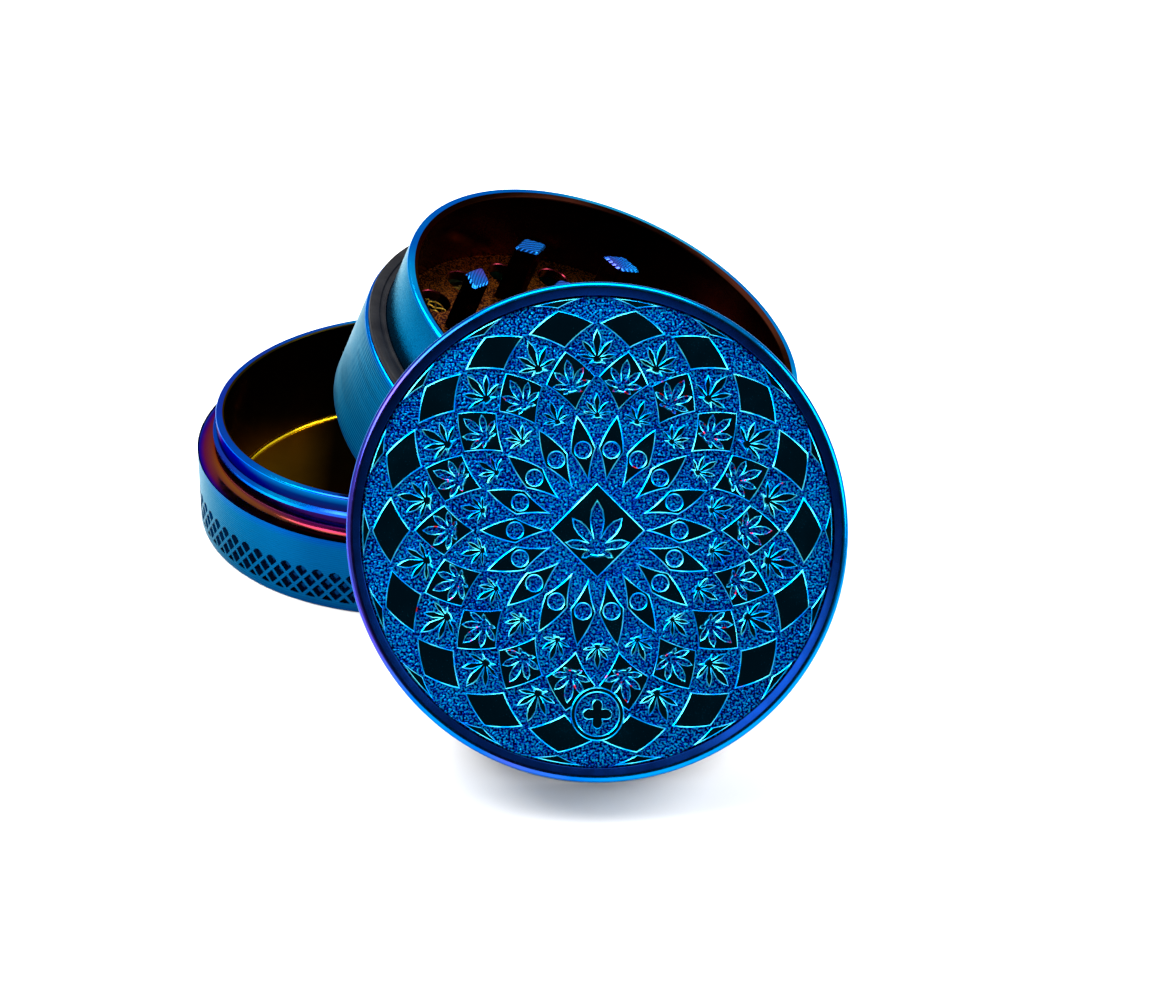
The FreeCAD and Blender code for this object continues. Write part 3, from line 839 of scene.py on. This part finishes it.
# Half a tooth's outline, in short and half long diagonals; the other half mirrors it.
TOOTH_OUTLINE = [(0.5, 0.06), (0.46, 0.16), (0.06, 0.96), (-0.06, 0.96), (-0.46, 0.16),
                 (-0.5, 0.06)]
TOOTH_SUNK, TOOTH_BEVEL, TOOTH_TIP_SHARE = 0.02, 0.3, 0.86


def diamond_teeth(row, body, place, phase, z_foot, z_tip):
    """A circle of diamond posts with bevelled tips; z_tip may lie above or below z_foot."""
    name, node, count, circle_r = row
    build = Builder()
    materials, (side, top) = pick("tooth_side", "tooth_top")
    direction = 1 if z_tip > z_foot else -1
    outline = TOOTH_OUTLINE + [(-u, -v) for u, v in TOOTH_OUTLINE]
    levels = ((1.0, z_foot - direction * TOOTH_SUNK), (1.0, z_tip - TOOTH_BEVEL * direction),
              (TOOTH_TIP_SHARE, z_tip))
    for k in range(count):
        radial = Vector(polar(1, phase + k * 360.0 / count))
        tangent = Vector((-radial.y, radial.x, 0))
        loops = []
        for shrink, z in levels:
            ring = []
            for u, v in outline:
                point = (radial * (circle_r + u * TOOTH_SHORT * shrink)
                         + tangent * (v * TOOTH_LONG / 2 * shrink))
                ring.append(build.add((point.x, point.y, z)))
            loops.append(ring)
        for low, high, kind in zip(loops, loops[1:], (side, top)):
            build.band(low, high, kind)
        build.face(loops[0], side)
        build.face(loops[-1], top)
    build.piece(name, body, place, materials, [node], TEETH_SHARP)


# ---- lid ----

def lid():
    build = Builder()
    materials, (side, rim, bevel, inside) = pick("lid_side", "lid_rim", "lid_bevel", "lid_inside")
    recess = LID_H - LID_RECESS
    boss_low, magnet_seat = LID_SKIRT - LID_BOSS_H, LID_SKIRT - 0.5
    lathe(build, rounded([
        (OUTER_R, 0, 0.5, side), (OUTER_R, LID_H, 0.8, rim),
        (OUTER_R - 0.85, LID_H - 0.02, 0.15, bevel),
        (MEDALLION_R + 0.15, LID_H - 0.4, 0.12, bevel),
        (MEDALLION_R + 0.03, LID_H - 1.0, 0.05, inside), (MEDALLION_R + 0.03, recess, 0, inside),
        (0, recess, 0, inside), (0, magnet_seat, 0, inside), (MAGNET_R, magnet_seat, 0, inside),
        (MAGNET_R, boss_low, 0.1, inside), (LID_BOSS_R, boss_low, 0.4, inside),
        (LID_BOSS_R, LID_SKIRT, 0.3, inside), (LID_BORE_R, LID_SKIRT, 0.3, inside),
        (LID_BORE_R, 0, 0.3, side),
    ], 6), LID_STEPS)
    build.piece("lid_turned", "lid", LID_PLACE, materials, ["lid_shell"])


# The rosette: eighteen equal circles through the centre cut the field into curved cells.
CIRCLES = 18
CIRCLE_R = 0.48 * OUTER_R
CELL_HALF = 180.0 / CIRCLES
FIELD_R = MEDALLION_R - 0.05
GROUND_Z = LID_H - LID_RECESS + MEDALLION_T - 0.1
TOP_Z = GROUND_Z + RELIEF_H + 0.1
CELL_MARGIN = 0.13
EDGE_BEVEL = 0.18
ISLAND_FOOT_Z = GROUND_Z - 0.06
DIAMOND_HALF = 0.192 * OUTER_R
BADGE_R, BADGE_AT = 0.108 * OUTER_R, Vector((0, -0.73 * OUTER_R))
BADGE_RIM, FLOWER_R, BADGE_CHECK_R = 0.75, 0.95, 0.7 * OUTER_R
EYE_AT, EYE_R = 0.327 * OUTER_R, 0.030 * OUTER_R
EYE_ROW, SPRIG_ROW, PLAIN_ROW, RIM_ROW = 80, 60, 40, 20  # reach of the raised cells, in degrees
RIM_MARGIN, FINE_BEVEL, FINEST_BEVEL = 0.06, 0.13, 0.11
SPRIG_IN_CELL = (0.583 * OUTER_R, 0.108 * OUTER_R)  # how far out its base is, size
SPRIG_INNER = (0.464 * OUTER_R, 0.09 * OUTER_R)
SPRIG_OUTER = (0.69 * OUTER_R, 0.122 * OUTER_R)
SPRIG_IN_DIAMOND = (-0.07 * OUTER_R, 0.185 * OUTER_R)
ARC_STEPS = 7


def from_top(radius, degrees):
    """A point in the lid's face, its direction counted clockwise from the top."""
    angle = math.radians(90 - degrees)
    return Vector((radius * math.cos(angle), radius * math.sin(angle)))


def crossing(centre_a, radius_a, centre_b, radius_b, near):
    """Where two circles meet, on the side that is closer to the point near."""
    apart = centre_b - centre_a
    gap = apart.length
    along = (gap * gap + radius_a ** 2 - radius_b ** 2) / (2 * gap)
    aside = math.sqrt(max(radius_a ** 2 - along ** 2, 0.0))
    foot = centre_a + apart * (along / gap)
    offset = Vector((-apart.y, apart.x)) * (aside / gap)
    return min((foot + offset, foot - offset), key=lambda point: (point - near).length)


def arc(centre, start, end):
    """Points from start to just before end, round the centre the short way."""
    first, last = start - centre, end - centre
    sweep = -first.angle_signed(last)
    points = []
    for s in range(ARC_STEPS):
        point = first.copy()
        point.rotate(Matrix.Rotation(sweep * s / ARC_STEPS, 2))
        points.append(centre + point)
    return points


def cell(direction, reach, distance):
    """The cell whose inner corner lies where the circles at direction +- reach cross, shrunk."""
    outward = reach - 2 * CELL_HALF
    low_r, low_l = from_top(CIRCLE_R, direction + reach), from_top(CIRCLE_R, direction - reach)
    outer, inner = CIRCLE_R + distance, CIRCLE_R - distance

    def about(turn, angle):
        return from_top(2 * CIRCLE_R * math.cos(math.radians(angle)), direction + turn)

    bottom = crossing(low_r, outer, low_l, outer, about(0, reach))
    near_r, near_l = about(CELL_HALF, reach - CELL_HALF), about(-CELL_HALF, reach - CELL_HALF)
    if outward < 1:
        rim, origin = FIELD_R - distance, Vector((0, 0))
        right = crossing(low_r, outer, origin, rim, near_r)
        left = crossing(low_l, outer, origin, rim, near_l)
        return arc(low_r, bottom, right) + arc(origin, right, left) + arc(low_l, left, bottom)
    high_r = from_top(CIRCLE_R, direction - outward)
    high_l = from_top(CIRCLE_R, direction + outward)
    right = crossing(low_r, outer, high_r, inner, near_r)
    left = crossing(low_l, outer, high_l, inner, near_l)
    top = crossing(high_r, inner, high_l, inner, about(0, outward))
    return (arc(low_r, bottom, right) + arc(high_r, right, top) + arc(high_l, top, left)
            + arc(low_l, left, bottom))


LEAFLETS = ((0, 1.0), (40, 0.8), (80, 0.66), (122, 0.36))  # direction, length
LEAFLET_SHAPE = ((0.42, 1.0), (0.6, 0.88), (0.8, 0.5), (1.0, 0.0))  # along it, share of spread
OPENING, ISLAND = 1, -1  # growth
LEAFLET_SPREAD = {OPENING: 13.5, ISLAND: 17.5}  # in degrees
WIDEST_SPREAD = 18
NOTCH = 0.17  # between two leaflets


def sprig(radius, size, direction, growth):
    """A leaf of seven pointed leaflets round a base, growing away from the lid's centre.
    Given as a function of how far its edge is moved, which widens an OPENING and narrows an
    ISLAND."""
    base = from_top(radius, direction)

    def at(distance):
        moved = growth * distance
        notch = NOTCH * size + 2 * moved
        polar_points = []
        for angle, length in [(-a, n) for a, n in LEAFLETS[:0:-1]] + list(LEAFLETS):
            spread = LEAFLET_SPREAD[growth] - 5 * (1 - length)
            side = []
            for along, share in LEAFLET_SHAPE:
                r = max(along * length * size + along * 1.6 * moved, notch * (1 + 0.2 * along))
                wider = math.degrees(moved / r)
                half = max(spread * share + wider, 0.3 * spread * share)
                side.append((min(half, WIDEST_SPREAD) if share else 0, r))
            polar_points += [(angle - half, r) for half, r in side]
            polar_points += [(angle + half, r) for half, r in side[-2::-1]]
            polar_points += [(angle + 20, notch)]
        polar_points[-1] = (180, notch * 0.9)
        return [base + from_top(r, direction + a) for a, r in polar_points]
    return at


def shrinking(outline):
    """The function that moves a closed outline into itself by a distance."""
    area = sum(a[0] * b[1] - b[0] * a[1] for a, b in zip(outline, outline[1:] + outline[:1]))
    ordered = outline if area > 0 else outline[::-1]
    return lambda distance: inset(ordered, distance)


def disc_edge(x, y, radius, steps=40):
    """A round outline, given as a function of how far it is moved inwards."""
    def at(distance):
        return [(x + (radius - distance) * math.cos(2 * math.pi * k / steps),
                 y + (radius - distance) * math.sin(2 * math.pi * k / steps)) for k in range(steps)]
    return at


def rosette():
    build = Builder()
    materials, (ground, top, outline, fringe) = pick("ground", "top", "outline", "fringe")
    low = LID_H - LID_RECESS
    lathe(build, [(0, low, ground), (MEDALLION_R, low, ground), (MEDALLION_R, GROUND_Z, ground),
                  (0, GROUND_Z, ground)], closed=False)

    def island(shape, holes=(), top_z=TOP_Z, bevel=EDGE_BEVEL, hole_kind=outline):
        plateau(build, shape, holes, ISLAND_FOOT_Z, top_z, bevel, top, outline, hole_kind)

    def raised_cell(direction, reach, holes=(), margin=CELL_MARGIN, **looks):
        island(lambda distance: cell(direction, reach, margin + distance), holes, **looks)

    for k in range(CIRCLES):
        raised = CELL_HALF + 2 * CELL_HALF * k
        eye = disc_edge(*from_top(EYE_AT, raised), EYE_R, 28)
        raised_cell(raised, EYE_ROW, [lambda distance, eye=eye: eye(-distance)])
        raised_cell(raised, SPRIG_ROW, [sprig(*SPRIG_IN_CELL, raised, OPENING)], bevel=FINE_BEVEL,
                    hole_kind=fringe)
        raised_cell(raised, PLAIN_ROW)
        raised_cell(raised, RIM_ROW, margin=RIM_MARGIN, bevel=FINE_BEVEL)
        between = 2 * CELL_HALF * k
        island(sprig(*SPRIG_INNER, between, ISLAND), top_z=TOP_Z - 0.05, bevel=FINEST_BEVEL)
        if (from_top(BADGE_CHECK_R, between) - BADGE_AT).length > 2 * BADGE_R:
            island(sprig(*SPRIG_OUTER, between, ISLAND), top_z=TOP_Z - 0.04, bevel=FINE_BEVEL)
    diamond = [from_top(DIAMOND_HALF, 90 * k) for k in range(4)]
    island(shrinking(diamond), [sprig(*SPRIG_IN_DIAMOND, 0, OPENING)], top_z=TOP_Z + 0.08)
    groove = disc_edge(*BADGE_AT, BADGE_R - BADGE_RIM)
    island(disc_edge(*BADGE_AT, BADGE_R), [lambda distance: groove(-distance)], top_z=TOP_Z + 0.1)
    petals = ((a, FLOWER_R + FLOWER_R * abs(math.cos(math.radians(2 * a))))
              for a in range(0, 360, 9))
    island(shrinking([BADGE_AT + from_top(r, a) for a, r in petals]), bevel=0.12)
    build.piece("rosette", "lid", LID_PLACE, materials, ["lid_medallion"],
                ROSETTE_SHARP)


# ---- build every piece ----
cup()
sieve_ring()
woven_mesh()
slip_ring()
chamber()
drilled_floor()
for row in CHAMBER_TEETH:
    diamond_teeth(row, "chamber", CHAMBER_PLACE, TEETH_PHASE,
                  FLOOR_TOP, FLOOR_TOP + TOOTH_H)
lid()
rosette()
for row in LID_TEETH:
    diamond_teeth(row, "lid", LID_PLACE, 0, LID_SKIRT, LID_SKIRT - LID_TOOTH_H)
for node, material in CARRIED.items():
    obj = frame["nodes"][node]
    obj.data.materials.clear()
    obj.data.materials.append(M[material])


# ---- floor, light and camera ----
FLOOR_HALF = 3.0  # metres
FLOOR_WHITE, FLOOR_ROUGHNESS = 0.93, 0.75
SURROUNDINGS = 0.75  # brightness
PATCH_TOWARDS = Vector((0.0, -0.84, 0.54)).normalized()
PATCH_FADE = (0.66, 0.86)  # cosines of the angle from its middle
PATCH_LEVEL = 0.045
LIT_POINT = (0.01, -0.03, 0.02)
SOFTBOXES = (  # name, place, aim, width, height, power, whether metal mirrors it
    ("key", (-0.35, -0.15, 0.55), LIT_POINT, 0.35, 0.35, 4.4, True),
    ("fill", (0.5, -0.1, 0.35), LIT_POINT, 0.25, 0.4, 3.4, True),
    ("top", (0.0, 0.15, 0.6), LIT_POINT, 0.5, 0.3, 5.0, True),
    ("front", (0.03, -0.45, 0.22), (0.026, -0.09, 0.0), 0.3, 0.15, 1.0, False),
)


def floor():
    mesh = bpy.data.meshes.new("floor")
    half = FLOOR_HALF
    corners = [(-half, -half, 0), (half, -half, 0), (half, half, 0), (-half, half, 0)]
    mesh.from_pydata(corners, [], [(0, 1, 2, 3)])
    n = Nodes("floor_white")
    mesh.materials.append(n.done((FLOOR_WHITE,) * 3, FLOOR_ROUGHNESS, metallic=0.0))
    obj = bpy.data.objects.new("floor", mesh)
    bpy.context.scene.collection.objects.link(obj)


def softbox(name, place, aim, width, height, power, in_metal):
    """An area light; with in_metal off it lights only the matt things and leaves no reflection."""
    light = bpy.data.lights.new(name, "AREA")
    light.shape = "RECTANGLE"
    light.size, light.size_y = width, height
    light.energy = power
    obj = bpy.data.objects.new(name, light)
    obj.location = place
    obj.visible_glossy = in_metal
    obj.rotation_euler = (Vector(aim) - Vector(place)).to_track_quat("-Z", "Y").to_euler()
    bpy.context.scene.collection.objects.link(obj)


def world():
    """White surroundings with a dark patch, as where a camera stands in a studio."""
    surroundings = bpy.data.worlds.new("studio")
    surroundings.use_nodes = True
    tree = surroundings.node_tree
    back = tree.nodes["Background"]
    coords = tree.nodes.new("ShaderNodeTexCoord")
    towards = tree.nodes.new("ShaderNodeVectorMath")
    towards.operation = "DOT_PRODUCT"
    towards.inputs[1].default_value = PATCH_TOWARDS
    tree.links.new(coords.outputs["Generated"], towards.inputs[0])
    ramp = tree.nodes.new("ShaderNodeValToRGB")
    for element, place, level in zip(ramp.color_ramp.elements, PATCH_FADE, (1, PATCH_LEVEL)):
        element.position = place
        element.color = (level, level, level, 1)
    tree.links.new(towards.outputs["Value"], ramp.inputs[0])
    tree.links.new(ramp.outputs[0], back.inputs[0])
    back.inputs[1].default_value = SURROUNDINGS
    bpy.context.scene.world = surroundings


floor()
world()
for row in SOFTBOXES:
    softbox(*row)

CAMERA_AT = (0.0231, -0.4460, 0.2554)
CAMERA_DOWN = math.radians(29.75)
LENS_OVER_WIDTH = 3.0546
SENSOR = 36.0
CLIP_START = 0.01
camera = bpy.data.cameras.new("camera")
camera.sensor_width = SENSOR
camera.lens = SENSOR * LENS_OVER_WIDTH
camera.clip_start = CLIP_START
view = bpy.data.objects.new("camera", camera)
view.location = CAMERA_AT
view.rotation_euler = (math.pi / 2 - CAMERA_DOWN, 0, 0)
bpy.context.scene.collection.objects.link(view)
bpy.context.scene.camera = view
bpy.context.scene.view_settings.view_transform = "Standard"
